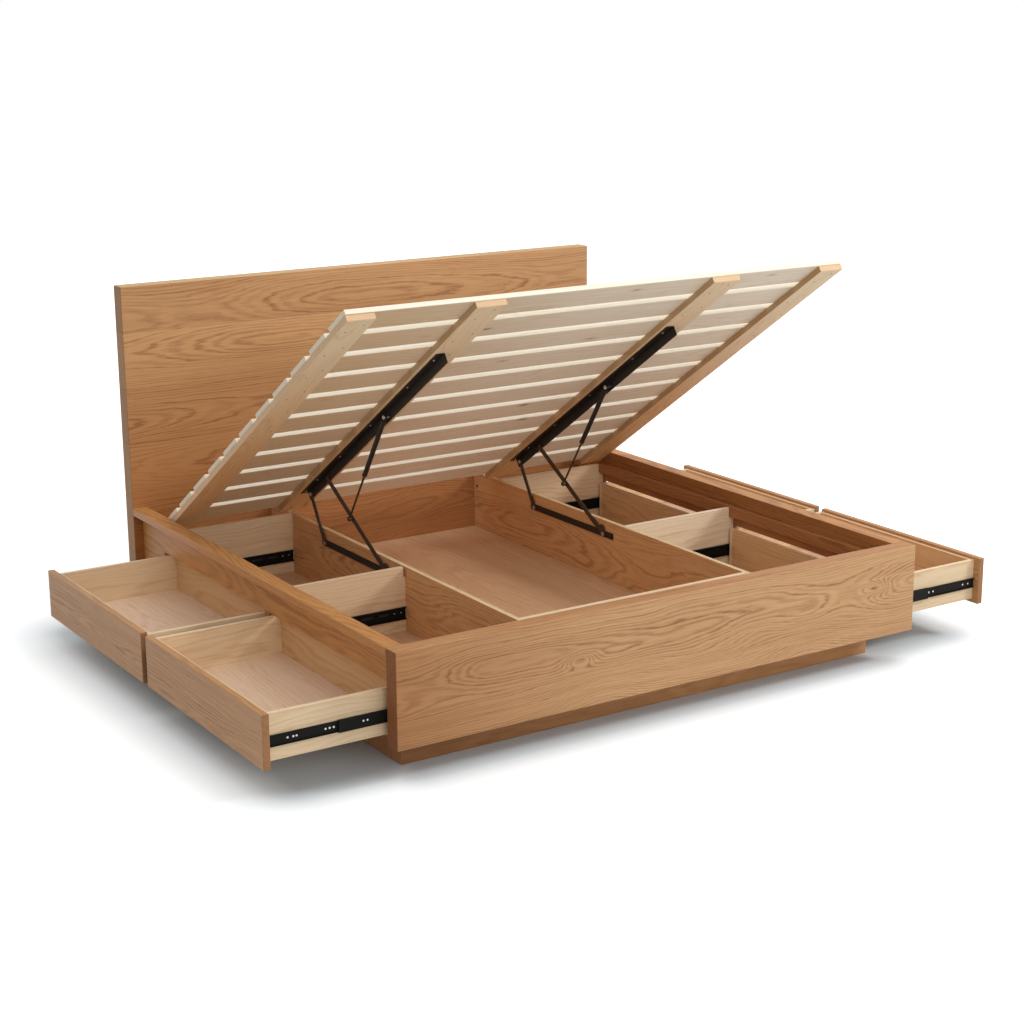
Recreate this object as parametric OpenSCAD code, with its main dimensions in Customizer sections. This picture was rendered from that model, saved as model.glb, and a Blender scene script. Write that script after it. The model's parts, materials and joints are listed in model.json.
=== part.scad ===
// Storage bed with a lifting slatted base, a centre storage box and four side drawers.
// Units are millimetres. Z is up, the floor is z = 0, X runs across the bed and the headboard is at +Y.
// The model is drawn in its resting pose: slatted base raised, all four drawers pulled out.
// "from_foot" distances are measured along +Y from the outer face of the footboard.

/* [Bed frame] */
// Overall width across the side rails
bed_w = 2140; // [1400:10:2400]
// Length from the outer face of the footboard to the front face of the headboard
foot_to_head = 2064; // [1900:2:2300]
// Height of the tops of the footboard and side rails
frame_top = 430; // [400:1:520]
// Height of the underside of the footboard and the side panels
frame_bottom = 110; // [80:1:130]
// Thickness of the footboard
footboard_t = 62; // [40:1:80]
// Width of the top caps of the side rails
cap_w = 58; // [50:1:80]
// Height of the top caps of the side rails
cap_h = 30; // [20:1:40]
// Thickness of the recessed side panels
side_t = 20; // [16:1:24]
// Thickness of the base, divider and bay panels
panel_t = 18; // [15:1:22]
// Thickness of the floor panel that spans the whole frame
floor_t = 20; // [15:1:24]
// Size of the eased edges on the oak boards
ease = 2; // [1:0.5:4]

/* [Headboard] */
// Thickness of the headboard
headboard_t = 68; // [40:1:80]
// Height of the top of the headboard
headboard_top = 1290; // [1000:10:1400]

/* [Plinth] */
// Height gap between the floor and the underside of the frame is filled by boards this thick
plinth_t = 25; // [18:1:40]
// Inset of the plinth from the sides of the frame
plinth_in_x = 90; // [60:1:160]
// Inset of the plinth from the outer face of the footboard
plinth_in_foot = 140; // [90:1:200]
// Inset of the plinth from the headboard
plinth_in_head = 60; // [30:1:160]

/* [Inside] */
// How far the dividers and the bay panels stop below the ledges
divider_drop = 5; // [2:1:20]
// Free space between a divider and the back ends of the drawer slides
bay_spare = 41; // [10:1:80]
// Depth of the small bays between the head bay panels and the back panel
rear_bay_d = 172; // [120:2:260]
// Distance from the frame top down to the ledges that carry the closed slatted base
ledge_drop = 55; // [50:1:70]
// Height of the ledge strips
ledge_h = 42; // [25:1:60]
// Width of the ledge strips
ledge_w = 22; // [15:1:24]
// Depth of the fixed board that closes the gap at the foot end
landing_d = 108; // [60:1:160]
// Gap between the fixed board and the closed slatted base
landing_gap = 12; // [6:1:20]
// Distance from the footboard to the front panel of the centre box
box_front_in = 158; // [120:2:240]

/* [Drawers] */
// Length of the drawer box that stays under the rail when the drawer is pulled out
drawer_keep = 48; // [20:1:120]
// Gap between a closed drawer front and the side panel
front_shut = 1; // [0.5:0.5:3]
// Thickness of the drawer fronts
front_t = 25; // [18:1:30]
// How far the drawer fronts start above the underside of the frame
front_rise = 10; // [4:1:20]
// How far the drawer fronts stand above the drawer sides
front_over = 10; // [8:1:30]
// How far the drawer fronts cover the panel above the drawer openings
front_lap = 2; // [1:1:10]
// Gap between the two fronts on one side of the bed
front_gap = 40; // [20:1:60]
// Gap between the foot drawer fronts and the footboard
front_end = 3; // [2:1:12]
// Depth of the drawer box behind the front
box_d = 480; // [400:1:484]
// Thickness of the boards of the drawer boxes
box_t = 15; // [12:1:18]
// Thickness of the drawer bottoms
box_floor_t = 8; // [4:1:12]
// Height of the drawer sides
box_h = 152; // [100:1:160]
// Clearance under a drawer box
box_gap = 6; // [4:1:8]

/* [Drawer slides] */
// Side space taken up by one slide
slide_t = 12.7; // [12.7:0.1:14]
// Height of the fixed slide member
slide_h = 45; // [42:1:48]
// Distance from the underside of a drawer box up to the middle of its slides
slide_up = 64; // [40:1:80]
// Sheet thickness of the slide members
slide_sheet = 1.5; // [1:0.1:1.8]
// Gap between the fixed slide members and the divider
slide_end_gap = 3; // [1:0.5:10]
// Clearance between nested slide members
slide_gap = 0.8; // [0.6:0.1:1]

/* [Slatted base] */
// Tilt of the raised slatted base
lid_tilt = 33.8; // [33:0.1:34.5]
// Distance from the headboard to the head edge of the raised slats
lid_back = 170.75; // [150:0.25:200]
// Height of the lowest edge of the raised slatted base above the ledges
lid_rise = 5.1; // [3:0.1:12]
// Gap between the headboard and the closed slatted base
lid_shut_gap = 73; // [60:1:90]
// Side clearance between the slats and the rail caps
lid_gap = 4; // [3:0.5:8]
// Number of slats
slat_n = 11; // [10:1:12]
// Width of each slat
slat_w = 130; // [100:1:140]
// Thickness of the slats
slat_t = 18; // [15:1:20]
// Thickness of the beams under the slats
beam_t = 22; // [18:1:24]
// Width of the outer beams
beam_outer_w = 104; // [80:1:120]
// Width of the inner beams
beam_inner_w = 118; // [100:1:130]
// Set-back of the beam ends from the slat edges
beam_set = 3; // [0:1:10]

/* [Lift mechanism] */
// Distance from the headboard to the rear fixed pivot
pivot_a_back = 496; // [480:1:520]
// Distance between the rear and the front fixed pivot
pivot_ab = 487; // [460:1:510]
// Distance of both fixed pivots below the divider top
pivot_drop = 54; // [48:1:64]
// Distance along the slatted base from its head edge to the rear moving pivot
pivot_c_back = 225; // [210:1:240]
// Distance of the rear moving pivot below the beams
pivot_c_drop = 18.5; // [16:0.5:24]
// Distance along the slatted base between the rear and the front moving pivot
pivot_cd = 170.6; // [160:0.1:190]
// Distance of the front moving pivot below the beams
pivot_d_drop = 28.5; // [24:0.5:29]
// Distance along the slatted base from its head edge to the upper strut pivot
strut_top_back = 976; // [950:1:1010]
// Distance of the upper strut pivot below the beams
strut_top_drop = 22; // [18:0.5:24]
// Position of the lower strut pivot along the long link, as a share of its length
strut_low_share = 0.577; // [0.5:0.001:0.62]
// Width of the flat link bars
link_w = 20; // [16:1:20]
// How far the round ends of the link bars stand past their edges
link_over = 2; // [2:0.5:3]
// Thickness of the flat link bars and of the mounting plate
link_t = 4; // [3:0.5:5]
// Diameter of the wide lower end of the long link
cam_d = 40; // [36:1:44]
// How far the wide end lies up the long link from its fixed pivot
cam_up = 18; // [14:1:22]
// How far the wide end stands to the side of the long link
cam_side = 7; // [4:1:9]
// Running gap between parts that slide past each other
run_gap = 0.5; // [0.4:0.1:0.8]
// Diameter of the pivot pins
pin_d = 10; // [8:0.5:10]
// Radial clearance of the pins in their bores
pin_gap = 0.3; // [0.3:0.05:0.5]
// Height of the mounting plate on the divider
plate_h = 25; // [22:1:28]
// How far the mounting plate runs past each fixed pivot
plate_over = 58; // [20:1:70]
// Height of the hanging flange of the lift angle
angle_h = 36; // [32:1:36]
// Width of the top flange of the lift angle
angle_w = 34; // [30:1:38]
// Distance that the lift angle runs past the upper strut pivot
angle_front = 483; // [400:1:520]
// How far the lift angle runs past the rear moving pivot
angle_over = 26; // [20:1:30]
// Diameter of the strut cylinder
cylinder_d = 18; // [16:1:18]
// Length of the strut cylinder from its pivot
cylinder_len = 296; // [260:1:300]
// Side gap between the links and the strut
strut_gap = 2.5; // [1.5:0.5:4]
// Length of rod left inside the cylinder when the strut is fully extended
rod_keep = 20.75; // [12:0.25:40]
// Diameter of the strut rod
rod_d = 8; // [6:0.5:9]
// Thickness of the strut end eyes
eye_t = 10; // [8:1:12]

/* [Hidden] */
$fn = 48;
half_w = bed_w / 2;
shut_gap = 1;
y0 = -(foot_to_head + headboard_t) / 2;
in_x = half_w - cap_w;
side_out = in_x + side_t;
floor_top = frame_bottom + floor_t;
foot_in = y0 + footboard_t;
head_face = y0 + foot_to_head;
back_face = head_face - panel_t;
slide_len = box_d;
slide_back = in_x - 2 * front_shut - slide_len;
divider_out = slide_back - bay_spare;
divider_in = divider_out - panel_t;
divider_x = divider_out - panel_t / 2;
ledge_top = frame_top - ledge_drop;
divider_top = ledge_top - divider_drop;
bay_y0 = foot_in + panel_t;
head_panel = back_face - rear_bay_d - panel_t;
mid_y = (bay_y0 + head_panel) / 2;
box_len = mid_y - panel_t / 2 - bay_y0 - 2 * slide_t;
foot_box_y = bay_y0 + slide_t;
head_box_y = mid_y + panel_t / 2 + slide_t;
drawer_travel = box_d - drawer_keep;
front_in = side_out + front_shut + drawer_travel;
front_y_foot = foot_in + front_end;
front_len = mid_y - front_gap / 2 - front_y_foot;
front_y_head = mid_y + front_gap / 2;
box_bottom = floor_top + box_gap;
box_top = box_bottom + box_h;
slide_z = box_bottom + slide_up;
front_bottom = frame_bottom + front_rise;
front_top = box_top + front_over;
opening_top = front_top - front_lap;
opening_bottom = floor_top;
ledge_x = in_x - ledge_w;
ledge_bottom = ledge_top - ledge_h;
lid_half = in_x - lid_gap;
lid_len = foot_to_head - footboard_t - landing_d - landing_gap - lid_shut_gap;
slat_pitch = (lid_len - slat_w) / (slat_n - 1);
beam_len = lid_len - 2 * beam_set;
beam_n = slat_t + beam_t;
head_edge_y = head_face - lid_back;
head_edge_z = ledge_top + lid_rise + beam_n * cos(lid_tilt) - beam_set * sin(lid_tilt);
lid_y = head_edge_y - lid_len * cos(lid_tilt);
lid_z = head_edge_z + lid_len * sin(lid_tilt);
pivot_c_s = lid_len - pivot_c_back;
pivot_d_s = pivot_c_s - pivot_cd;
strut_top_s = lid_len - strut_top_back;
angle_s0 = strut_top_s - angle_front;
angle_end = pivot_c_s + angle_over;
link_eye = link_w + 2 * link_over;
pivot_ab_z = divider_top - pivot_drop;
eye_d = 18;
bar_in = pin_d / 2 + pin_gap + 0.7;
head_d = 16;
head_t = 2;
axis_x = -(link_t * 2 + run_gap + strut_gap + cylinder_d / 2);
angle_t = link_t - shut_gap;
flange_in = -shut_gap;
flange_out = flange_in - angle_t;
notch_gap = 4;
face_left = -divider_out;
face_right = divider_in;
notch_x = divider_out - flange_out + notch_gap;
notch_z = ledge_top + shut_gap - angle_h - 2 * notch_gap;
pt_a = [head_face - pivot_a_back, pivot_ab_z];
pt_b = [pt_a[0] - pivot_ab, pivot_ab_z];
pt_c = lid_point(pivot_c_s, -beam_n - pivot_c_drop);
pt_d = lid_point(pivot_d_s, -beam_n - pivot_d_drop);
pt_t = lid_point(strut_top_s, -beam_n - strut_top_drop);
pt_s = pt_b + strut_low_share * (pt_d - pt_b);
strut_len = norm(pt_s - pt_t);
rod_reach = strut_len - cylinder_len + rod_keep;
oak = [0.76, 0.56, 0.36];
oak_dark = [0.66, 0.47, 0.30];
pine = [0.90, 0.80, 0.64];
inner_oak = [0.72, 0.54, 0.38];
steel_black = [0.10, 0.09, 0.08];
zinc = [0.72, 0.72, 0.70];

// Point of the raised slatted base: s along it from the foot edge, n up from the slat tops
function lid_point(s, n) = [
  lid_y + s * cos(lid_tilt) + n * sin(lid_tilt),
  lid_z - s * sin(lid_tilt) + n * cos(lid_tilt)];

// Plain block between two corners
module block(a, b) {
  translate(a)
    cube(b - a);
}

// Block with eased edges
module eased(a, b) {
  e = ease;
  hull() {
    block(a + [e, e, 0], b - [e, e, 0]);
    block(a + [e, 0, e], b - [e, 0, e]);
    block(a + [0, e, e], b - [0, e, e]);
  }
}

// Places children drawn flat (y along the slats, z up from the slat tops) on the raised base
module on_lid() {
  translate([0, lid_y, lid_z])
    rotate([-lid_tilt, 0, 0])
      children();
}

// Cylinder along X between two x positions at a point of the Y-Z plane
module pin_x(x_a, x_b, p, d) {
  translate([x_a, p[0], p[1]])
    rotate([0, 90, 0])
      cylinder(h = x_b - x_a, d = d);
}

// Flat bar with round eyes at two points of the Y-Z plane, its straight part kept clear of the bores
module bar(x_a, x_b, p, q, w) {
  a = atan2(q[1] - p[1], q[0] - p[0]);
  len_pq = norm(q - p);
  translate([x_a, p[0], p[1]])
    rotate([a, 0, 0]) {
      for (y = [0, len_pq])
        translate([0, y, 0])
          rotate([0, 90, 0])
            cylinder(h = x_b - x_a, d = link_eye);
      translate([0, bar_in, -w / 2])
        cube([x_b - x_a, len_pq - 2 * bar_in, w]);
    }
}

// One channel-shaped slide member: web at y_w, lips running towards y_l
module channel(x_a, x_b, y_w, y_l, h) {
  d = sign(y_l - y_w);
  y_i = y_w + d * slide_sheet;
  block([x_a, min(y_w, y_i), slide_z - h / 2], [x_b, max(y_w, y_i), slide_z + h / 2]);
  for (s = [-1, 1]) {
    z_a = s > 0 ? slide_z + h / 2 - slide_sheet : slide_z - h / 2;
    block([x_a, min(y_i, y_l), z_a], [x_b, max(y_i, y_l), z_a + slide_sheet]);
  }
}

// Both slides of one drawer, drawn for the +X side: part 0 fixed, 1 middle, 2 drawer member
module slide_pair(box_y, part) {
  mid_h = slide_h - 2 * slide_sheet - 2 * slide_gap;
  in_h = mid_h - 2 * slide_sheet - 2 * slide_gap;
  x_a = part == 0 ? divider_out + slide_end_gap : slide_back + drawer_travel / 2;
  x_b = part == 0 ? slide_back + slide_len : x_a + slide_len;
  for (e = [0, 1]) {
    y_p = e == 0 ? box_y - slide_t : box_y + box_len + slide_t;
    y_d = e == 0 ? box_y : box_y + box_len;
    d = e == 0 ? 1 : -1;
    if (part == 0)
      channel(x_a, x_b, y_p, y_d - d * (slide_sheet + 0.3), slide_h);
    if (part == 1)
      channel(x_a, x_b, y_p + d * (slide_sheet + slide_gap), y_d - d * (slide_sheet + 0.4), mid_h);
    if (part == 2)
      channel(front_in - slide_len, front_in, y_d, y_p + d * 5, in_h);
  }
}

// Front board of one drawer, drawn for the +X side
module front_board(y) {
  color(oak)
    eased([front_in, y, front_bottom], [front_in + front_t, y + front_len, front_top]);
}

// The two side boards of one drawer
module side_boards(y) {
  color(pine)
    for (k = [0, box_len - box_t])
      block([front_in - box_d, y + k, box_bottom], [front_in, y + k + box_t, box_top]);
}

// Back and front boards of one drawer box
module end_boards(y) {
  color(pine)
    for (x = [front_in - box_d, front_in - box_t])
      block([x, y + box_t, box_bottom], [x + box_t, y + box_len - box_t, box_top]);
}

// Bottom board of one drawer
module bottom_board(y) {
  color(inner_oak)
    block([front_in - box_d + box_t, y + box_t, box_bottom + box_floor_t],
      [front_in - box_t, y + box_len - box_t, box_bottom + 2 * box_floor_t]);
}

// Side panel with the two drawer openings, drawn for the +X side
module side_panel() {
  color(oak_dark)
    difference() {
      block([in_x, foot_in, frame_bottom], [side_out, head_face, frame_top - cap_h]);
      for (y = [foot_box_y, head_box_y])
        block([in_x - 1, y - slide_t, opening_bottom],
          [side_out + 1, y + box_len + slide_t, opening_top]);
    }
}

// Top cap of a side rail, drawn for the +X side
module rail_cap() {
  color(oak)
    eased([in_x, foot_in, frame_top - cap_h], [half_w, head_face, frame_top]);
}

// Cross panel of one side bay, drawn for the +X side and cut around the ledge
module bay_panel(y) {
  difference() {
    block([divider_out, y, floor_top], [in_x, y + panel_t, divider_top]);
    block([ledge_x - 1, y - 1, ledge_bottom - 1], [in_x + 1, y + panel_t + 1, divider_top + 1]);
  }
}

module footboard() {
  color(oak)
    eased([-half_w, y0, frame_bottom], [half_w, foot_in, frame_top]);
}

module headboard() {
  color(oak)
    eased([-half_w, head_face, frame_bottom], [half_w, head_face + headboard_t, headboard_top]);
}

module rail_cap_left() {
  mirror([1, 0, 0])
    rail_cap();
}

module rail_cap_right() {
  rail_cap();
}

module side_panel_left() {
  mirror([1, 0, 0])
    side_panel();
}

module side_panel_right() {
  side_panel();
}

module base_panel() {
  color(inner_oak)
    block([-in_x, foot_in, frame_bottom], [in_x, head_face, floor_top]);
}

module back_panel() {
  color(oak)
    block([-in_x, back_face, floor_top], [in_x, head_face, divider_top]);
}

module divider_left() {
  color(inner_oak)
    block([-divider_out, foot_in, floor_top], [-divider_in, back_face, divider_top]);
}

module divider_right() {
  color(inner_oak)
    block([divider_in, foot_in, floor_top], [divider_out, back_face, divider_top]);
}

module box_front_panel() {
  y = foot_in + box_front_in;
  color(pine)
    block([-divider_in, y, floor_top], [divider_in, y + panel_t, divider_top]);
}

module bay_panels_foot() {
  color(inner_oak)
    for (m = [0, 1])
      mirror([m, 0, 0])
        bay_panel(foot_in);
}

module bay_panel_mid_left() {
  color(inner_oak)
    difference() {
      mirror([1, 0, 0])
        bay_panel(mid_y - panel_t / 2);
      block([-notch_x, mid_y - panel_t, notch_z], [-divider_out + 1, mid_y + panel_t, divider_top + 1]);
    }
}

module bay_panel_mid_right() {
  color(inner_oak)
    bay_panel(mid_y - panel_t / 2);
}

module bay_panels_head() {
  color(inner_oak)
    for (m = [0, 1])
      mirror([m, 0, 0])
        bay_panel(head_panel);
}

module side_ledges() {
  color(oak_dark)
    for (m = [0, 1])
      mirror([m, 0, 0])
        block([ledge_x, foot_in, ledge_bottom], [in_x, back_face, ledge_top]);
}

module landing_board() {
  color(inner_oak)
    block([-ledge_x + 2, foot_in, divider_top], [ledge_x - 2, foot_in + landing_d, divider_top + panel_t]);
}

module plinth_boards() {
  px = half_w - plinth_in_x;
  py_a = y0 + plinth_in_foot;
  py_b = head_face - plinth_in_head;
  color(oak_dark) {
    for (y = [py_a, py_b - plinth_t])
      block([-px, y, 0], [px, y + plinth_t, frame_bottom]);
    for (x = [-px, px - plinth_t])
      block([x, py_a + plinth_t, 0], [x + plinth_t, py_b - plinth_t, frame_bottom]);
  }
}

module slides_outer_left() {
  mirror([1, 0, 0])
    slides_outer_right();
}

module slides_outer_right() {
  color(steel_black) {
    slide_pair(foot_box_y, 0);
    slide_pair(head_box_y, 0);
  }
}

// Mounting plate of one lift mechanism on the divider face at x = face
module plate(face) {
  block([face - link_t, pt_b[0] - plate_over, pivot_ab_z - plate_h / 2],
    [face, pt_a[0] + plate_over / 2, pivot_ab_z + plate_h / 2]);
}

module lift_plates() {
  color(steel_black) {
    plate(face_left);
    plate(face_right);
  }
}

// Fixed pivot pin with its head outside the link bar
module lower_pin(face, p) {
  x_o = face - 2 * link_t - 2 * run_gap;
  pin_x(x_o, face - link_t, p, pin_d);
  pin_x(x_o - head_t, x_o, p, head_d);
}

module lower_pivot_pins() {
  color(zinc)
    for (face = [face_left, face_right])
      for (p = [pt_a, pt_b])
        lower_pin(face, p);
}

module drawer_front_foot_left() {
  mirror([1, 0, 0])
    front_board(front_y_foot);
}

module drawer_sides_foot_left() {
  mirror([1, 0, 0])
    side_boards(foot_box_y);
}

module drawer_ends_foot_left() {
  mirror([1, 0, 0])
    end_boards(foot_box_y);
}

module drawer_bottom_foot_left() {
  mirror([1, 0, 0])
    bottom_board(foot_box_y);
}

module slides_inner_foot_left() {
  color(steel_black)
    mirror([1, 0, 0])
      slide_pair(foot_box_y, 2);
}

module slides_mid_foot_left() {
  color(steel_black)
    mirror([1, 0, 0])
      slide_pair(foot_box_y, 1);
}

module drawer_front_head_left() {
  mirror([1, 0, 0])
    front_board(front_y_head);
}

module drawer_sides_head_left() {
  mirror([1, 0, 0])
    side_boards(head_box_y);
}

module drawer_ends_head_left() {
  mirror([1, 0, 0])
    end_boards(head_box_y);
}

module drawer_bottom_head_left() {
  mirror([1, 0, 0])
    bottom_board(head_box_y);
}

module slides_inner_head_left() {
  color(steel_black)
    mirror([1, 0, 0])
      slide_pair(head_box_y, 2);
}

module slides_mid_head_left() {
  color(steel_black)
    mirror([1, 0, 0])
      slide_pair(head_box_y, 1);
}

module drawer_front_foot_right() {
  front_board(front_y_foot);
}

module drawer_sides_foot_right() {
  side_boards(foot_box_y);
}

module drawer_ends_foot_right() {
  end_boards(foot_box_y);
}

module drawer_bottom_foot_right() {
  bottom_board(foot_box_y);
}

module slides_inner_foot_right() {
  color(steel_black)
    slide_pair(foot_box_y, 2);
}

module slides_mid_foot_right() {
  color(steel_black)
    slide_pair(foot_box_y, 1);
}

module drawer_front_head_right() {
  front_board(front_y_head);
}

module drawer_sides_head_right() {
  side_boards(head_box_y);
}

module drawer_ends_head_right() {
  end_boards(head_box_y);
}

module drawer_bottom_head_right() {
  bottom_board(head_box_y);
}

module slides_inner_head_right() {
  color(steel_black)
    slide_pair(head_box_y, 2);
}

module slides_mid_head_right() {
  color(steel_black)
    slide_pair(head_box_y, 1);
}

module lid_beams_outer() {
  color(pine)
    on_lid()
      for (x = [-lid_half, lid_half - beam_outer_w])
        block([x, beam_set, -beam_n], [x + beam_outer_w, beam_set + beam_len, -slat_t]);
}

module lid_beams_inner() {
  color(pine)
    on_lid()
      for (x = [-divider_x, divider_x])
        block([x - beam_inner_w / 2, beam_set, -beam_n], [x + beam_inner_w / 2, beam_set + beam_len, -slat_t]);
}

module lid_slats() {
  color(pine)
    on_lid()
      for (k = [0:slat_n - 1])
        block([-lid_half, k * slat_pitch, -slat_t], [lid_half, k * slat_pitch + slat_w, 0]);
}

// Angle bar under one inner beam that carries the moving pivots
module angle(face) {
  on_lid() {
    block([face + flange_in - angle_w, angle_s0, -beam_n - angle_t],
      [face + flange_in, angle_end, -beam_n]);
    block([face + flange_out, angle_s0, -beam_n - angle_h],
      [face + flange_in, angle_end, -beam_n - angle_t]);
  }
}

module lift_angles() {
  color(steel_black) {
    angle(face_left);
    angle(face_right);
  }
}

// Pins fixed to the lift angles: the rear moving pivot and the upper strut pivot, each with its head
module lid_pin_set(face) {
  link_out = face - 2 * link_t - 2 * run_gap;
  eye_out = face + axis_x - eye_t / 2 - run_gap;
  pin_x(link_out, face + flange_out, pt_c, pin_d);
  pin_x(link_out - head_t, link_out, pt_c, head_d);
  pin_x(eye_out, face + flange_out, pt_t, pin_d - 2);
  pin_x(eye_out - head_t, eye_out, pt_t, head_d);
}

module lid_pins() {
  color(zinc) {
    lid_pin_set(face_left);
    lid_pin_set(face_right);
  }
}

// Short rear link between a fixed pivot and the rear moving pivot
module rear_link(face) {
  x_o = face - 2 * link_t - run_gap;
  color(steel_black)
    difference() {
      bar(x_o, x_o + link_t, pt_a, pt_c, link_w);
      pin_x(x_o - 1, x_o + link_t + 1, pt_a, pin_d + 2 * pin_gap);
      pin_x(x_o - 1, x_o + link_t + 1, pt_c, pin_d + 2 * pin_gap);
    }
}

module rear_link_left() {
  rear_link(face_left);
}

module rear_link_right() {
  rear_link(face_right);
}

// Long link with its wide lower end, the head of the front pivot and the stub of the lower strut pivot
module long_link(face) {
  x_o = face - 2 * link_t - run_gap;
  up = (pt_d - pt_b) / norm(pt_d - pt_b);
  cam = pt_b + cam_up * up + cam_side * [-up[1], up[0]];
  color(steel_black)
    difference() {
      union() {
        bar(x_o, x_o + link_t, pt_b, pt_d, link_w);
        pin_x(x_o, x_o + link_t, cam, cam_d);
        pin_x(x_o - head_t, x_o, pt_d, head_d);
        pin_x(face + axis_x + eye_t / 2 + run_gap, x_o, pt_s, pin_d);
      }
      pin_x(x_o - 1, x_o + link_t + 1, pt_b, pin_d + 2 * pin_gap);
    }
}

module long_link_left() {
  long_link(face_left);
}

module long_link_right() {
  long_link(face_right);
}

// Places children drawn along +Y from the upper strut pivot on the strut axis
module on_strut(face) {
  a = atan2(pt_s[1] - pt_t[1], pt_s[0] - pt_t[0]);
  translate([face + axis_x, pt_t[0], pt_t[1]])
    rotate([a, 0, 0])
      children();
}

// Hollow cylinder of the gas strut with its upper eye and end cap
module strut_cylinder(face) {
  color(steel_black)
    on_strut(face)
      difference() {
        union() {
          pin_x(-eye_t / 2, eye_t / 2, [0, 0], eye_d);
          rotate([-90, 0, 0])
            cylinder(h = eye_d, d = eye_t - 1);
          translate([0, eye_d / 2 + 4, 0])
            rotate([-90, 0, 0])
              cylinder(h = cylinder_len - eye_d / 2 - 4, d = cylinder_d);
        }
        pin_x(-eye_t, eye_t, [0, 0], pin_d - 2 + 2 * pin_gap);
        translate([0, eye_d / 2 + 10, 0])
          rotate([-90, 0, 0])
            cylinder(h = cylinder_len, d = rod_d + 2 * pin_gap);
      }
}

module strut_cylinder_left() {
  strut_cylinder(face_left);
}

module strut_cylinder_right() {
  strut_cylinder(face_right);
}

// Rod of the gas strut with its lower eye
module strut_rod(face) {
  color(steel_black)
    on_strut(face) {
      translate([0, strut_len - rod_reach, 0])
        rotate([-90, 0, 0])
          cylinder(h = rod_reach - eye_d / 4, d = rod_d);
      pin_x(-eye_t / 2, eye_t / 2, [strut_len, 0], eye_d);
    }
}

module strut_rod_left() {
  strut_rod(face_left);
}

module strut_rod_right() {
  strut_rod(face_right);
}

footboard();
headboard();
rail_cap_left();
rail_cap_right();
side_panel_left();
side_panel_right();
base_panel();
back_panel();
divider_left();
divider_right();
box_front_panel();
bay_panels_foot();
bay_panel_mid_left();
bay_panel_mid_right();
bay_panels_head();
side_ledges();
landing_board();
plinth_boards();
slides_outer_left();
slides_outer_right();
lift_plates();
lower_pivot_pins();
drawer_front_foot_left();
drawer_sides_foot_left();
drawer_ends_foot_left();
drawer_bottom_foot_left();
slides_inner_foot_left();
slides_mid_foot_left();
drawer_front_head_left();
drawer_sides_head_left();
drawer_ends_head_left();
drawer_bottom_head_left();
slides_inner_head_left();
slides_mid_head_left();
drawer_front_foot_right();
drawer_sides_foot_right();
drawer_ends_foot_right();
drawer_bottom_foot_right();
slides_inner_foot_right();
slides_mid_foot_right();
drawer_front_head_right();
drawer_sides_head_right();
drawer_ends_head_right();
drawer_bottom_head_right();
slides_inner_head_right();
slides_mid_head_right();
lid_beams_outer();
lid_beams_inner();
lid_slats();
lift_angles();
lid_pins();
rear_link_left();
rear_link_right();
long_link_left();
long_link_right();
strut_cylinder_left();
strut_cylinder_right();
strut_rod_left();
strut_rod_right();
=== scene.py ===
import json
import math
import random
import zlib
import bmesh
import bpy
from mathutils import Matrix, Vector


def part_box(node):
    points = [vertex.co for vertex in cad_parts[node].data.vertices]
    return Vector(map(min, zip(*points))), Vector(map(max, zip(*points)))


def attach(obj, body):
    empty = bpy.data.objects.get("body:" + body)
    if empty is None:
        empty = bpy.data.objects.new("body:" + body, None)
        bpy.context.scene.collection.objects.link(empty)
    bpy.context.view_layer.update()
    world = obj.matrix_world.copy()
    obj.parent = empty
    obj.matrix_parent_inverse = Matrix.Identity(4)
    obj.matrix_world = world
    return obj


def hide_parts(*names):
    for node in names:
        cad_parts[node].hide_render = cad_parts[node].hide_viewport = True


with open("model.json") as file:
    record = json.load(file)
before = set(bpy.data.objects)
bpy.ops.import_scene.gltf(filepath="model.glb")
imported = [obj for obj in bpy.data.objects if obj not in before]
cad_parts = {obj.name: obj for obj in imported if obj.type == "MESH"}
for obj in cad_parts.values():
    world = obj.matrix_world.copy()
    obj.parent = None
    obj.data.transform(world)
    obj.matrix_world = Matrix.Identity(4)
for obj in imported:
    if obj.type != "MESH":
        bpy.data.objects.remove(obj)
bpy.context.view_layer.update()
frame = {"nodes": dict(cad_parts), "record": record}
record = frame["record"]
scene = bpy.context.scene

SIDES = ("left", "right")
CORNERS = ("foot_left", "head_left", "foot_right", "head_right")
BODY_OF = {n: b for b, nodes in record["behaviour"]["bodies"].items() for n in nodes}

# The raised slatted base: its turn, its foot edge on the slat tops, its slats and the depth of its beams
TILT = math.radians(33.8)
LID_ROT = Matrix.Rotation(-TILT, 3, "X")
UPRIGHT = Matrix.Identity(3)
LID_LEN, LID_Y, LID_Z = 1.809, -0.6760, 1.4180
SLAT_N, SLAT_W, BEAM_N = 11, 0.130, 0.040
SLAT_PITCH = (LID_LEN - SLAT_W) / (SLAT_N - 1)
LID_DOWN = Vector((0, -math.sin(TILT), -math.cos(TILT)))


def add_object(name, data):
    ob = bpy.data.objects.new(name, data)
    scene.collection.objects.link(ob)
    return ob


def add_mesh(name, bm, mats):
    """Smooth object of a finished bmesh."""
    me = bpy.data.meshes.new(name)
    bm.to_mesh(me)
    bm.free()
    for mat in mats:
        me.materials.append(mat)
    for poly in me.polygons:
        poly.use_smooth = True
    return add_object(name, me)


# Camera, solved from the straight edges of the bed: place in metres, turns in radians, lens in millimetres
CAM_POS = (-3.8035, -5.9872, 2.3632)
CAM_YAW, CAM_PITCH, CAM_ROLL = 0.5700, 0.2600, -0.0062
CAM_LENS, CAM_SENSOR, CAM_CLIP_END = 69.07, 36, 200


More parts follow.
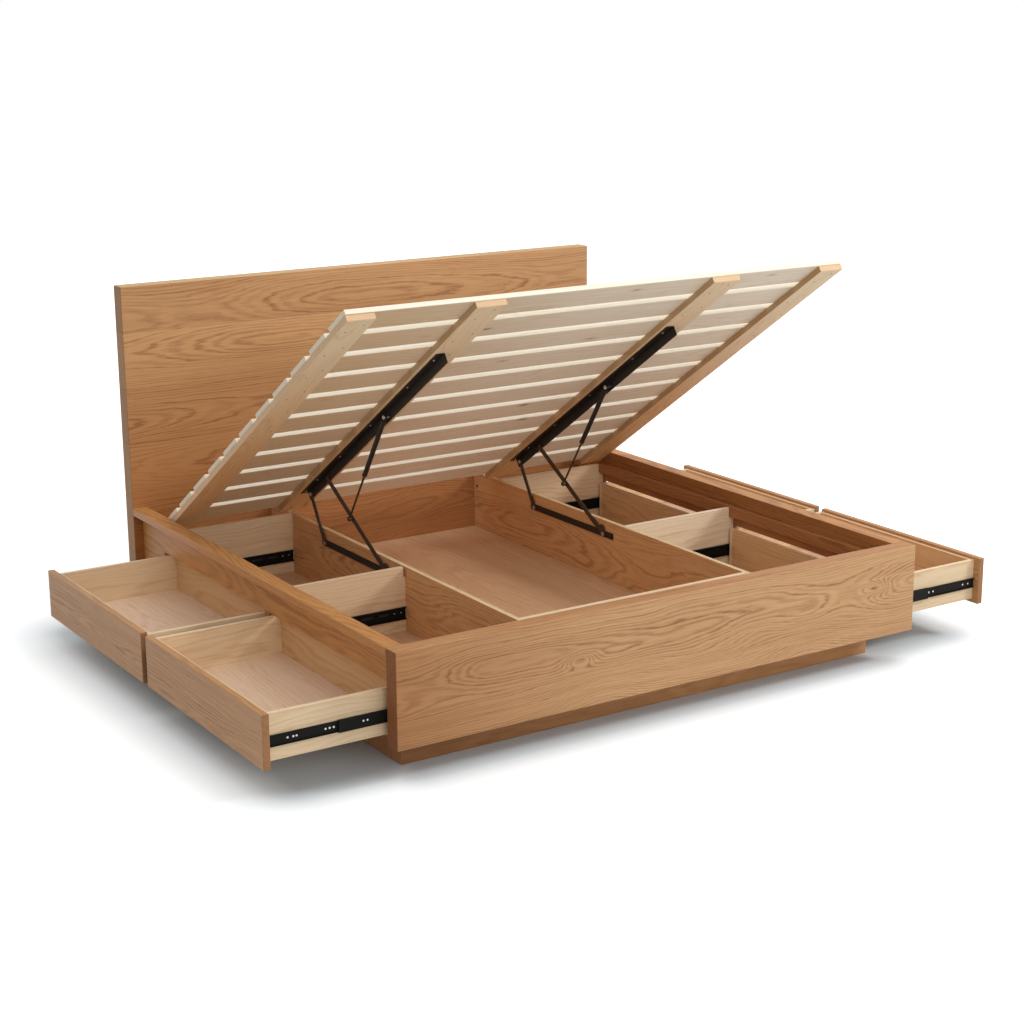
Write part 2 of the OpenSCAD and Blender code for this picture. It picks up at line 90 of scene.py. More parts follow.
def camera_matrix():
    flat = math.cos(CAM_PITCH)
    ahead = Vector((math.sin(CAM_YAW) * flat, math.cos(CAM_YAW) * flat, -math.sin(CAM_PITCH)))
    level = Vector((math.cos(CAM_YAW), -math.sin(CAM_YAW), 0))
    above = level.cross(ahead)
    right = math.cos(CAM_ROLL) * level + math.sin(CAM_ROLL) * above
    up = -math.sin(CAM_ROLL) * level + math.cos(CAM_ROLL) * above
    rows = [(right[i], up[i], -ahead[i], CAM_POS[i]) for i in range(3)]
    return Matrix((*rows, (0, 0, 0, 1)))


cam = add_object("camera", bpy.data.cameras.new("camera"))
cam.data.lens = CAM_LENS
cam.data.sensor_width = CAM_SENSOR
cam.data.clip_end = CAM_CLIP_END
cam.matrix_world = camera_matrix()
scene.camera = cam


# Shader building
def srgb(r, g, b):
    def lin(c):
        c /= 255
        return c / 12.92 if c <= 0.04045 else ((c + 0.055) / 1.055) ** 2.4
    return (lin(r), lin(g), lin(b), 1)


class Nodes:
    """Short calls that add nodes to one tree. A value is a number, a colour or the output of a node."""

    def __init__(self, tree):
        self.tree = tree
        self.tree.nodes.clear()

    def new(self, kind, **settings):
        node = self.tree.nodes.new(kind)
        for k, v in settings.items():
            setattr(node, k, v)
        return node

    def put(self, socket, value):
        if hasattr(value, "is_output"):
            self.tree.links.new(value, socket)
        elif value is not None:
            socket.default_value = value

    def fill(self, node, values):
        for i, v in enumerate(values):
            self.put(node.inputs[i], v)
        return node.outputs[0]

    def math(self, op, a, b=None, c=None, clamp=False):
        return self.fill(self.new("ShaderNodeMath", operation=op, use_clamp=clamp), (a, b, c))

    def centred(self, value):
        """A value of 0 to 1, moved to -0.5 to 0.5."""
        return self.math("SUBTRACT", value, 0.5)

    def xyz(self, v):
        n = self.new("ShaderNodeSeparateXYZ")
        self.put(n.inputs[0], v)
        return n.outputs

    def vec(self, x, y, z):
        return self.fill(self.new("ShaderNodeCombineXYZ"), (x, y, z))

    def scale(self, v, s):
        return self.fill(self.new("ShaderNodeVectorMath", operation="MULTIPLY"), (v, s))

    def length(self, v):
        n = self.new("ShaderNodeVectorMath", operation="LENGTH")
        self.put(n.inputs[0], v)
        return n.outputs["Value"]

    def noise(self, v, scale=1.0, detail=2.0, rough=0.5):
        n = self.new("ShaderNodeTexNoise", noise_dimensions="3D")
        self.put(n.inputs["Vector"], v)
        n.inputs["Scale"].default_value = scale
        n.inputs["Detail"].default_value = detail
        n.inputs["Roughness"].default_value = rough
        return n.outputs["Fac"]

    def white(self, w):
        n = self.new("ShaderNodeTexWhiteNoise", noise_dimensions="1D")
        self.put(n.inputs["W"], w)
        return n.outputs["Value"], n.outputs["Color"]

    def ramp(self, fac, stops, interp="LINEAR"):
        n = self.new("ShaderNodeValToRGB")
        n.color_ramp.interpolation = interp
        els = n.color_ramp.elements
        while len(els) < len(stops):
            els.new(0.5)
        for e, (p, c) in zip(els, stops):
            e.position = p
            e.color = c if hasattr(c, "__len__") else (c, c, c, 1)
        self.put(n.inputs[0], fac)
        return n.outputs[0]

    def mix(self, fac, a, b, blend="MIX"):
        n = self.new("ShaderNodeMix", data_type="RGBA", blend_type=blend)
        self.put(n.inputs[0], fac)
        self.put(n.inputs[6], a)
        self.put(n.inputs[7], b)
        return n.outputs[2]

    def seen(self):
        """1 for rays from the camera or a glossy surface, otherwise 0."""
        path = self.new("ShaderNodeLightPath")
        return self.math("MAXIMUM", path.outputs["Is Camera Ray"], path.outputs["Is Glossy Ray"])

    def mix_shader(self, fac, a, b):
        return self.fill(self.new("ShaderNodeMixShader"), (fac, a, b))


class Shader(Nodes):
    def __init__(self, name):
        self.mat = bpy.data.materials.new(name)
        self.mat.use_nodes = True
        super().__init__(self.mat.node_tree)
        self.out = self.new("ShaderNodeOutputMaterial")

    def finish(self, color, rough, bump, strength, dist, **sockets):
        p = self.new("ShaderNodeBsdfPrincipled")
        self.put(p.inputs["Base Color"], color)
        self.put(p.inputs["Roughness"], rough)
        for k, v in sockets.items():
            p.inputs[k.replace("_", " ")].default_value = v
        b = self.new("ShaderNodeBump")
        b.inputs["Strength"].default_value = strength
        b.inputs["Distance"].default_value = dist
        self.put(b.inputs["Height"], bump)
        self.put(p.inputs["Normal"], b.outputs[0])
        self.put(self.out.inputs[0], p.outputs[0])
        return self.mat


# Boards are set this far apart in grain space, more than the length of any of them
GRAIN_STEP = 3.1
# Noise cells per metre along the grain, across the face and into the board
DRIFT, EDDY, JAG, PATCH = (0.6, 2.2, 2.2), (2.0, 8.0, 8.0), (7, 70, 70), (0.8, 7, 7)
KNOT_CELLS = (3.2, 9.0, 4.0)
FACE_THREAD, FACE_PITS = (2.5, 110, 110), (16, 620, 620)
END_THREAD, END_PITS = (60, 160, 160), (300, 620, 620)
# Darkness over the width of a growth ring, over the noise of the pores and outwards from the middle of a knot
RING_STOPS = ((0.0, 0.55), (0.3, 0.05), (0.5, 0.08), (0.82, 0.9), (0.9, 1.0), (1.0, 0.55))
PIT_STOPS = ((0.60, 0.0), (0.72, 1.0))
KNOT_STOPS = ((0.0, 1.0), (0.05, 0.75), (0.075, 0.25), (0.13, 0.0))
# A swirl: its squeeze along the grain, how fast it dies out and how many rings it adds
EYE_SQUEEZE, EYE_FALL, EYE_RINGS = (0.36, 1, 0), -0.12, 5.0
# How far each stave moves its grain: across the face, along it and into the board
STAVE_CROSS, STAVE_ALONG, STAVE_DEEP = 0.10, 7.0, 0.05
SEAM_LINE, SEAM_SOFT = 0.0006, 0.0022
BASE_DARK, SPOT_DARK = 0.12, 0.8


def wood(name, light, dark, pore, rings=100, depth=0.05, wander=0.07, swirl=8.0, stave=0.0, contrast=0.85,
         pores=0.4, tone=0.16, rough=0.5, knots=0.0, seam=0.0, fibre=0.2, fade=None, eyes=(), end=False):
    """Sawn board. The mesh attribute grain holds metres along the grain, across the face and into the board."""
    s = Shader(name)
    grain = s.new("ShaderNodeAttribute", attribute_name="grain")
    u, v, w = s.xyz(grain.outputs["Vector"])
    board_u, board_v = u, v
    if stave:
        k = s.math("DIVIDE", v, stave)
        idx = s.math("FLOOR", k)
        stave_tone, stave_color = s.white(idx)
        q = s.xyz(stave_color)
        in_stave = s.centred(s.math("SUBTRACT", k, idx))
        v = s.math("MULTIPLY_ADD", in_stave, stave, s.math("MULTIPLY", s.centred(q[0]), STAVE_CROSS))
        u = s.math("MULTIPLY_ADD", q[1], STAVE_ALONG, u)
        w = s.math("MULTIPLY_ADD", q[2], STAVE_DEEP, w)
    pos = s.vec(u, v, w)

    # Growth rings round a pith that wanders at depth under the face
    slow = s.noise(s.scale(pos, DRIFT), 1.0, 1.5, 0.45)
    eddy = s.noise(s.scale(pos, EDDY), 1.0, 1.6, 0.45)
    deep = s.math("MULTIPLY_ADD", s.centred(slow), wander * 2.6, s.math("ADD", w, depth))
    radius = s.math("SQRT", s.math("ADD", s.math("MULTIPLY", deep, deep), s.math("MULTIPLY", v, v)))
    jag = s.noise(s.scale(pos, JAG), 1.0, 3.0, 0.62)
    phase = s.math("MULTIPLY_ADD", radius, rings, s.math("MULTIPLY", jag, 1.3))
    phase = s.math("MULTIPLY_ADD", eddy, swirl, phase)
    spot = None
    for eye_u, eye_v, size, dark_core in eyes:
        off = s.fill(s.new("ShaderNodeVectorMath", operation="SUBTRACT"), (pos, (eye_u, eye_v, 0)))
        out = s.math("DIVIDE", s.length(s.scale(off, EYE_SQUEEZE)), size)
        bell = s.math("EXPONENT", s.math("MULTIPLY", s.math("MULTIPLY", out, out), EYE_FALL))
        phase = s.math("MULTIPLY_ADD", bell, EYE_RINGS, phase)
        if dark_core:
            core = s.ramp(out, ((0.0, dark_core), (0.5, 0.7 * dark_core), (0.95, 0.0)))
            spot = core if spot is None else s.math("MAXIMUM", spot, core)
    ring = s.ramp(s.math("FRACT", phase), RING_STOPS, "EASE")
    ring_id, _ = s.white(s.math("FLOOR", phase))
    ring = s.math("MULTIPLY", ring, s.math("MULTIPLY_ADD", ring_id, 0.7, 0.3))
    thread = s.noise(s.scale(pos, END_THREAD if end else FACE_THREAD), 1.0, 4.0, 0.7)
    ring = s.math("MULTIPLY", ring, s.math("MULTIPLY_ADD", thread, 1.6, 0.1))

    # Colour: rings, fibres, patches and staves between the light and the dark wood
    patch = s.noise(s.scale(pos, PATCH), 1.0, 2.0, 0.5)
    fac = s.math("MULTIPLY", ring, contrast)
    fac = s.math("MULTIPLY_ADD", s.centred(thread), fibre * 2.0, fac)
    fac = s.math("MULTIPLY_ADD", s.centred(patch), tone * 2.4, fac)
    if stave:
        fac = s.math("MULTIPLY_ADD", s.centred(stave_tone), tone * 1.6, fac)
    color = s.mix(s.math("ADD", fac, BASE_DARK, clamp=True), light, dark)

    # Pores, knots and the dark middles of swirls
    pits = s.noise(s.scale(pos, END_PITS if end else FACE_PITS), 1.0, 1.0, 0.5)
    pit = s.math("MULTIPLY", s.ramp(pits, PIT_STOPS), s.math("MULTIPLY_ADD", ring, 0.7, 0.3))
    color = s.mix(s.math("MULTIPLY", pit, pores), color, pore)
    if knots:
        cell = s.new("ShaderNodeTexVoronoi", voronoi_dimensions="3D", feature="F1")
        s.put(cell.inputs["Vector"], s.scale(pos, KNOT_CELLS))
        cell.inputs["Scale"].default_value = 1.0
        out = s.math("MULTIPLY_ADD", s.centred(jag), 0.03, cell.outputs["Distance"])
        color = s.mix(s.math("MULTIPLY", s.ramp(out, KNOT_STOPS), knots), color, pore)
    if spot is not None:
        color = s.mix(s.math("MULTIPLY", spot, SPOT_DARK), color, pore)

    # Painted shade in the colour, darker towards one end or side: (0 along or 1 across, where it starts, where it
    # is full, tint)
    if fade:
        axis, start, stop, tint = fade
        place = board_v if axis else s.math("WRAP", board_u, GRAIN_STEP / 2, -GRAIN_STEP / 2)
        reach = s.math("DIVIDE", s.math("SUBTRACT", place, start), stop - start, clamp=True)
        color = s.mix(reach, color, s.mix(1.0, color, tint + (1,), "MULTIPLY"))
    if seam and stave:
        seam_stops = ((0.0, 0.0), (0.5 - SEAM_SOFT / stave, 0.0), (0.5 - SEAM_LINE / stave, 1.0))
        line = s.ramp(s.math("ABSOLUTE", in_stave), seam_stops)
        color = s.mix(s.math("MULTIPLY", line, seam), color, pore)
    shine = s.math("MULTIPLY_ADD", thread, 0.16, rough - 0.08)
    height = s.math("SUBTRACT", s.math("MULTIPLY", thread, 0.35), pit)
    return s.finish(color, shine, height, 0.18, 0.0006, Specular_IOR_Level=0.35)


END_TINT = (0.66, 0.62, 0.60)
CUT_ROUGH, END_CONTRAST, END_RINGS = 0.6, 0.7, 1.6


def timber(name, light, dark, pore, end_tint=END_TINT, edge_tint=None, **kw):
    """Face, end-grain and, where the edges are tinted, long-edge materials of one kind of board."""
    def tinted(tint):
        return (tuple(c * t for c, t in zip(srgb(*col)[:3], tint)) + (1,) for col in (light, dark, pore))
    mats = [wood(name, srgb(*light), srgb(*dark), srgb(*pore), **kw)]
    kw.update(rough=CUT_ROUGH, eyes=(), fade=None)
    rings = kw.pop("rings", 100)
    end_kw = kw | {"contrast": END_CONTRAST, "rings": rings * END_RINGS, "end": True}
    mats.append(wood(name + "_end", *tinted(end_tint), **end_kw))
    if edge_tint:
        mats.append(wood(name + "_edge", *tinted(edge_tint), rings=rings, **kw))
    return mats


def grain_shift(node, i):
    """Offset in grain space of board i of a node, so that boards seldom repeat."""
    k = (zlib.crc32(node.encode()) % 1000 + 37 * i) % 97
    return GRAIN_STEP * k, 0.017 * ((k * 7) % 9 - 4), 0.006 * (k % 7)


# Swirls of the footboard's face: distance along it from its middle, height from its middle, size, dark core
FOOTBOARD_EYES = (
    (0.875, 0.031, 0.0075, 1), (0.775, 0.009, 0.020, 0), (0.338, -0.036, 0.022, 0), (0.598, -0.128, 0.020, 0),
    (-0.389, 0.007, 0.008, 0.5), (-1.0, 0.06, 0.03, 0), (-0.32, -0.12, 0.026, 0))
foot_u, foot_v, _ = grain_shift("footboard", 0)
head_v = grain_shift("headboard", 0)[1]

PALE_EDGE = (1.12, 1.2, 1.3)
BOX_EDGE = (1.1, 1.12, 1.15)
EDGE_LOOK = {"rings": 140, "depth": 0.16, "swirl": 3.0, "contrast": 0.7}
BIRCH_LOOK = {"edge_tint": PALE_EDGE, "rings": 100, "depth": 0.12, "swirl": 6.0, "contrast": 0.5, "pores": 0.2}
BOX_LOOK = {"rings": 100, "pores": 0.2, "rough": 0.56, "fibre": 0.14}
PINE_LOOK = {"contrast": 0.45, "pores": 0.12, "rough": 0.58, "fibre": 0.12}
oak = timber("oak", (201, 152, 104), (137, 88, 49), (84, 50, 27), rings=150, wander=0.085, contrast=0.72,
             fibre=0.28)
# Painted shade: the footboard darkens towards its left end, its top is tinted darker, and its end grain is darker
# than that of other boards, partly as real end grain and partly as painted shade.
oak_foot = timber("oak_foot", (208, 164, 118), (145, 97, 56), (78, 45, 24), (0.44, 0.28, 0.18), (0.85, 0.74, 0.67),
                  rings=140, wander=0.085, contrast=0.72, fibre=0.28, fade=(0, -0.25, -1.07, (0.69, 0.56, 0.43)),
                  eyes=[(foot_u + x, foot_v + z, size, core) for x, z, size, core in FOOTBOARD_EYES])
# Painted shade: the headboard darkens and reddens towards its lower edge.
oak_wide = timber("oak_wide", (206, 159, 111), (143, 93, 53), (84, 48, 24), edge_tint=(1.3, 1.55, 1.75),
                  rings=150, depth=0.06, swirl=4.5, stave=0.215, seam=0.2, contrast=0.65, fibre=0.3, tone=0.2,
                  fade=(1, head_v + 0.45, head_v - 0.40, (0.62, 0.42, 0.23)))
oak_edge = timber("oak_edge", (206, 147, 87), (138, 88, 46), (84, 48, 26), fibre=0.28, **EDGE_LOOK)
# Painted shade: darker oak for the faces of the rail caps and side panels that look towards the middle of the bed.
oak_painted_shade, _ = timber("oak_painted_shade", (168, 111, 60), (112, 66, 32), (72, 40, 20), **EDGE_LOOK)
# Painted shade: the plinth darkens towards its left end.
oak_plinth = timber("oak_plinth", (200, 148, 98), (132, 86, 50), (84, 48, 26), (0.9, 0.86, 0.84), rings=120,
                    contrast=0.6, fade=(0, 0.2, -0.95, (0.55, 0.48, 0.42)))
# Painted light: the top and bottom edges of the dividers are much paler.
oak_inner = timber("oak_inner", (226, 175, 123), (158, 105, 63), (100, 62, 38), edge_tint=(1.2, 1.65, 2.2),
                   rings=115, depth=0.10, contrast=0.6)
oak_back = timber("oak_back", (176, 118, 70), (122, 72, 38), (84, 48, 26), rings=110, depth=0.08, contrast=0.6)
oak_floor = timber("oak_floor", (220, 179, 142), (179, 133, 99), (128, 90, 64), rings=110, depth=0.13, swirl=5.0,
                   stave=0.30, contrast=0.55)
box_floor = timber("box_floor", (246, 218, 190), (206, 168, 136), (150, 112, 84), rings=110, depth=0.13, swirl=5.0,
                   stave=0.26, contrast=0.5)
birch = timber("birch", (226, 200, 166), (190, 148, 104), (140, 100, 66), **BIRCH_LOOK)
# Painted light: a paler copy of birch, for the right middle bay panel.
birch_painted_light = timber("birch_painted_light", (240, 222, 194), (202, 168, 130), (148, 106, 70), **BIRCH_LOOK)
box_side = timber("box_side", (234, 210, 174), (196, 158, 116), (148, 106, 70), BOX_EDGE, (1.14, 1.16, 1.2),
                  depth=0.14, contrast=0.45, tone=0.10, swirl=5.0, **BOX_LOOK)
box_end = timber("box_end", (224, 186, 141), (184, 136, 89), (140, 96, 60), BOX_EDGE, (1.16, 1.28, 1.45),
                 depth=0.12, contrast=0.5, tone=0.12, swirl=6.0, **BOX_LOOK)
# Painted shade: the slats darken towards their left ends.
pine = timber("pine", (253, 248, 233), (230, 212, 181), (150, 104, 66), (0.94, 0.9, 0.84), (1.0, 0.98, 0.96),
              rings=100, depth=0.10, tone=0.08, knots=0.9, swirl=5.0, fade=(0, 0.0, -0.8, (0.82, 0.68, 0.52)),
              **PINE_LOOK)
# Painted shade: the beams darken towards their head ends, and their long side faces are much darker.
pine_beam = timber("pine_beam", (250, 232, 198), (222, 194, 150), (150, 104, 66), (0.83, 0.68, 0.60),
                   (0.55, 0.44, 0.34), rings=110, depth=0.12, tone=0.10, knots=0.6, swirl=4.0,
                   fade=(0, -0.75, 0.35, (0.84, 0.63, 0.45)), **PINE_LOOK)


def metal(name, tint, rough, metallic, spread, gloss=0.5):
    """Painted or bare metal and rubber, mottled a little in colour and gloss."""
    s = Shader(name)
    c = s.new("ShaderNodeTexCoord")
    broad = s.noise(c.outputs["Object"], 9.0, 3.0, 0.55)
    fine = s.noise(c.outputs["Object"], 1200.0, 2.0, 0.6)
    low = tuple(v * (1 - spread) for v in tint[:3]) + (1,)
    high = tuple(min(1, v * (1 + spread)) for v in tint[:3]) + (1,)
    color = s.mix(s.math("MULTIPLY_ADD", fine, 0.5, s.math("MULTIPLY", broad, 0.5), clamp=True), low, high)
    shine = s.math("MULTIPLY_ADD", broad, 0.16, rough - 0.08)
    shine = s.math("MULTIPLY_ADD", fine, 0.08, shine)
    return s.finish(color, shine, fine, 0.04, 0.0003, Metallic=metallic, Specular_IOR_Level=gloss)


steel_black = metal("steel_black", srgb(30, 26, 23), 0.46, 0.2, 0.3)
slide_black = metal("slide_black", srgb(17, 16, 15), 0.55, 0.0, 0.3, gloss=0.12)
# Painted shadow: near-black for the floors of slots and holes.
slot_painted_shadow = metal("slot_painted_shadow", srgb(12, 12, 12), 0.7, 0.0, 0.3)
zinc = metal("zinc", srgb(205, 203, 198), 0.3, 1.0, 0.1)
bronze_steel = metal("bronze_steel", srgb(76, 62, 50), 0.42, 0.5, 0.25)
bumper_white = metal("bumper_white", srgb(236, 234, 228), 0.5, 0.0, 0.03)


# Boards: each solid of a node becomes a board with eased edges and its own grain
SAME_POINT, INSIDE = 1e-5, 1e-4
FLAT_JOIN, SHARP_EDGE = math.radians(0.5), math.radians(30)
# A face whose normal has more than this along an axis looks along it
FACING = 0.7


def islands(bm):
    left = set(bm.verts)
    while left:
        todo = [left.pop()]
        part = []
        while todo:
            v = todo.pop()
            part.append(v)
            for e in v.link_edges:
                o = e.other_vert(v)
                if o in left:
                    left.remove(o)
                    todo.append(o)
        yield part


def board(node, mats, ease, rot=UPRIGHT, grain=None):
    """Copies a CAD node as a piece with rounded edges and a grain attribute for each of its boards."""
    src = frame["nodes"][node]
    bm = bmesh.new()
    bm.from_mesh(src.data)
    bmesh.ops.remove_doubles(bm, verts=bm.verts, dist=SAME_POINT)
    bmesh.ops.dissolve_limit(bm, angle_limit=FLAT_JOIN, verts=bm.verts, edges=bm.edges)
    inv = rot.inverted()
    layer = bm.verts.layers.float_vector.new("grain")
    boards = []
    for part in islands(bm):
        pts = [inv @ v.co for v in part]
        lo = Vector([min(p[i] for p in pts) for i in range(3)])
        hi = Vector([max(p[i] for p in pts) for i in range(3)])
        boards.append((lo, hi))
    boards.sort(key=lambda b: (round(b[0].x, 3), round(b[0].y, 3), round(b[0].z, 3)))
    sharp = [e for e in bm.edges if len(e.link_faces) == 2 and e.calc_face_angle(0) > SHARP_EDGE]
    bmesh.ops.bevel(bm, geom=sharp, offset=ease, segments=2, profile=0.5, affect="EDGES", clamp_overlap=True)
    axes_of = {}
    for v in bm.verts:
        p = inv @ v.co
        for i, (lo, hi) in enumerate(boards):
            if all(lo[k] - INSIDE <= p[k] <= hi[k] + INSIDE for k in range(3)):
                break
        size = hi - lo
        order = sorted(range(3), key=lambda k: -size[k])
        along = order[0] if grain is None else grain
        thick = order[2]
        cross = 3 - along - thick
        shift = grain_shift(node, i)
        g = p - (lo + hi) / 2
        v[layer] = (g[along] + shift[0], g[cross] + shift[1], g[thick] + shift[2])
        axes_of[v] = along, cross
    for f in bm.faces:
        n = inv @ f.normal
        for index, axis in enumerate(axes_of[f.verts[0]][:len(mats) - 1], 1):
            if abs(n[axis]) > FACING:
                f.material_index = index
    ob = add_mesh(node + "_wood", bm, mats)
    wn = ob.modifiers.new("normals", "WEIGHTED_NORMAL")
    wn.keep_sharp = True
    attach(ob, BODY_OF[node])
    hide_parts(node)
    return ob


def shade_inside(ob):
    """Painted shade: darker oak on the faces that look towards the middle of the bed."""
    me = ob.data
    me.materials.append(oak_painted_shade)
    for poly in me.polygons:
        if abs(poly.normal.x) > FACING and poly.center.x * poly.normal.x < 0:
            poly.material_index = len(me.materials) - 1


board("headboard", oak_wide, 0.002)
board("footboard", oak_foot, 0.002)
for side in SIDES:
    shade_inside(board("rail_cap_" + side, oak_edge, 0.0015))
    shade_inside(board("side_panel_" + side, oak_edge, 0.001))
    board("divider_" + side, oak_inner, 0.001)
board("bay_panel_mid_left", birch, 0.001)
board("bay_panel_mid_right", birch_painted_light, 0.001)
board("back_panel", oak_back, 0.001)
board("base_panel", oak_floor, 0.001, grain=1)
board("box_front_panel", box_side, 0.001)
board("bay_panels_foot", birch, 0.001)
board("bay_panels_head", birch, 0.001)
# Painted shade: the ledges take the darker back oak, as the shade of the rails' inner side.
board("side_ledges", oak_back, 0.001)
board("landing_board", birch, 0.001)
board("plinth_boards", oak_plinth, 0.0025)
for c in CORNERS:
    board("drawer_front_" + c, oak, 0.0015)
    board("drawer_sides_" + c, box_side, 0.001)
    board("drawer_ends_" + c, box_end, 0.001)
    board("drawer_bottom_" + c, box_floor, 0.0005, grain=1)
board("lid_slats", pine, 0.0025, LID_ROT)
outer_beams = board("lid_beams_outer", pine_beam, 0.002, LID_ROT)
# Painted shade on the beams' long side faces: the outward ones take the paler end tint, the inward ones keep the
# darker edge tint
for poly in outer_beams.data.polygons:
    if poly.material_index == 2 and poly.center.x * poly.normal.x > 0:
        poly.material_index = 1
board("lid_beams_inner", pine_beam, 0.002, LID_ROT)


# Steel parts keep their CAD solids
def paint(node, mat):
    me = frame["nodes"][node].data
    me.materials.clear()
    me.materials.append(mat)


for c in CORNERS:
    paint("slides_inner_" + c, slide_black)
    paint("slides_mid_" + c, slide_black)
for side in SIDES:
    paint("slides_outer_" + side, slide_black)
    paint("rear_link_" + side, bronze_steel)
    paint("long_link_" + side, bronze_steel)
    paint("strut_cylinder_" + side, steel_black)
    paint("strut_rod_" + side, bronze_steel)
paint("lift_plates", steel_black)
paint("lift_angles", steel_black)
paint("lid_pins", zinc)
paint("lower_pivot_pins", zinc)

# Small fittings: profiles of (radius, height) pairs, with heights from the face they sit on
RIVET = ((0.0034, -0.0003), (0.0030, 0.0004), (0.0016, 0.0005))
NAIL = ((0.0030, -0.0004), (0.0028, 0.0002), (0.0012, 0.0001))
COLLAR = ((0.0086, 0), (0.0098, 0.0010), (0.0098, 0.0070), (0.0080, 0.0096))
STOP = ((0.0085, -0.0004), (0.0085, 0.0022), (0.0072, 0.0040), (0.0044, 0.0050), (0.0016, 0.0052))
SMOOTH_EDGE = math.radians(35)


def screw(r, h):
    """Profile of a domed head with a round socket."""
    return (r, -0.0003), (r, 0.35 * h), (0.86 * r, 0.8 * h), (0.55 * r, h), (0.42 * r, h), (0.34 * r, 0.4 * h)


def turned(bm, at, axis, profile, sides=16, stretch=0.0, along=(1, 0, 0)):
    """Turned form of a profile, drawn out to a slot by stretch on both sides of its middle."""
    z = Vector(axis).normalized()
    x = (Vector(along) - z * z.dot(Vector(along))).normalized()
    y = z.cross(x)
    rings = []
    for radius, height in profile:
        ring = []
        for i in range(sides):
            t = 2 * math.pi * (i + 0.5) / sides
            dx = radius * math.cos(t) + math.copysign(stretch, math.cos(t))
            ring.append(bm.verts.new(Vector(at) + x * dx + y * radius * math.sin(t) + z * height))
        rings.append(ring)
    faces = [bm.faces.new(reversed(rings[0])), bm.faces.new(rings[-1])]
    for a, b in zip(rings, rings[1:]):
        for i in range(sides):
            j = (i + 1) % sides
            faces.append(bm.faces.new((a[i], a[j], b[j], b[i])))
    return faces


def slot_mark(bm, at, axis, along, length, width=0.0048):
    """Pressed rim round a slot: the floor of the slot, a dark disc of painted shadow, takes the second material.
    """
    half = width / 2
    rim = ((half + 0.0010, -0.0003), (half + 0.0009, 0.0003), (half + 0.0002, 0.0004), (half, 0.0001))
    faces = turned(bm, at, axis, rim, sides=20, stretch=max(0.0, length / 2 - half), along=along)
    faces[1].material_index = 1


def fitting(name, body, mats, build):
    bm = bmesh.new()
    build(bm)
    bmesh.ops.recalc_face_normals(bm, faces=bm.faces)
    for e in bm.edges:
        if len(e.link_faces) == 2:
            e.smooth = e.calc_face_angle(0) < SMOOTH_EDGE
    ob = add_mesh(name, bm, mats)
    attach(ob, body)


def heads(spots, sides=16):
    """Builder of a turned form at each (place, direction, profile)."""
    def build(bm):
        for at, axis, profile in spots:
            turned(bm, at, axis, profile, sides)
    return build


def lid_point(x, s, n):
    """Point of the raised base: s along it from its foot edge, n up from the slat tops."""
    y = LID_Y + s * math.cos(TILT) + n * math.sin(TILT)
    return Vector((x, y, LID_Z - s * math.sin(TILT) + n * math.cos(TILT)))


def outermost(box):
    return max(abs(box[0][0]), abs(box[1][0]))


SLIDE_LOW, SLIDE_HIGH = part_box("slides_inner_foot_left")
SLIDE_Z = (SLIDE_LOW[2] + SLIDE_HIGH[2]) / 2
DIVIDER_LEFT, DIVIDER_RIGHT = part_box("divider_left"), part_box("divider_right")

# Screws of the drawer members, from the inner face of the drawer front, and rivets of the middle members
MEMBER_SCREWS = {"left": (0.070, 0.089, 0.100, 0.198, 0.212, 0.226), "right": (0.028, 0.055, 0.207, 0.228)}
MEMBER_SCREW = screw(0.0036, 0.0014)
MIDDLE_RIVETS = (0.085, 0.099)
# Slots and screws of the fixed members, from the divider: middle of the slot and its length
FIXED_SLOTS = ((0.160, 0.044), (0.092, 0.036), (0.250, 0.036))
FIXED_SCREWS = (0.023, 0.050, 0.205)
# Sheet of the members, clearance between them, and how far rivets and slots lie above their mid height
SHEET, MEMBER_GAP, RIVET_UP, SLOT_UP = 0.0015, 0.0008, 0.002, 0.003
for c in CORNERS:
    side = c.split("_")[1]
    out = -1 if side == "left" else 1
    sides_box, mid_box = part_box("drawer_sides_" + c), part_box("slides_mid_" + c)
    front, mid_end = out * outermost(sides_box), out * outermost(mid_box)
    screws = [((front - out * off, y, SLIDE_Z), axis, MEMBER_SCREW)
              for axis, y in (((0, -1, 0), sides_box[0][1] - SHEET), ((0, 1, 0), sides_box[1][1] + SHEET))
              for off in MEMBER_SCREWS[side]]
    fitting("slide_screws_" + c, "drawer_" + c, [zinc], heads(screws))
    rivets = [((mid_end - out * off, y, SLIDE_Z + RIVET_UP), axis, RIVET)
              for axis, y in (((0, -1, 0), mid_box[0][1]), ((0, 1, 0), mid_box[1][1]))
              for off in MIDDLE_RIVETS]
    fitting("slide_rivets_" + c, "slide_middle_" + c, [zinc], heads(rivets))

for side, out, face in (("left", -1, DIVIDER_LEFT[0][0]), ("right", 1, DIVIDER_RIGHT[1][0])):
    webs = []
    for c in ("foot_" + side, "head_" + side):
        mid_low, mid_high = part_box("slides_mid_" + c)
        webs += [((0, 1, 0), mid_low[1] - MEMBER_GAP), ((0, -1, 0), mid_high[1] + MEMBER_GAP)]
    slots = [((face + out * off, y, SLIDE_Z + SLOT_UP), axis, length) for axis, y in webs
             for off, length in FIXED_SLOTS]
    bolts = [((face + out * off, y, SLIDE_Z + SLOT_UP), axis, RIVET) for axis, y in webs
             for off in FIXED_SCREWS]

    def fixed_slots(bm):
        for at, axis, length in slots:
            slot_mark(bm, at, axis, (1, 0, 0), length)

    fitting("slide_slots_" + side, "frame", [bronze_steel, slot_painted_shadow], fixed_slots)
    fitting("slide_bolts_" + side, "frame", [zinc], heads(bolts))

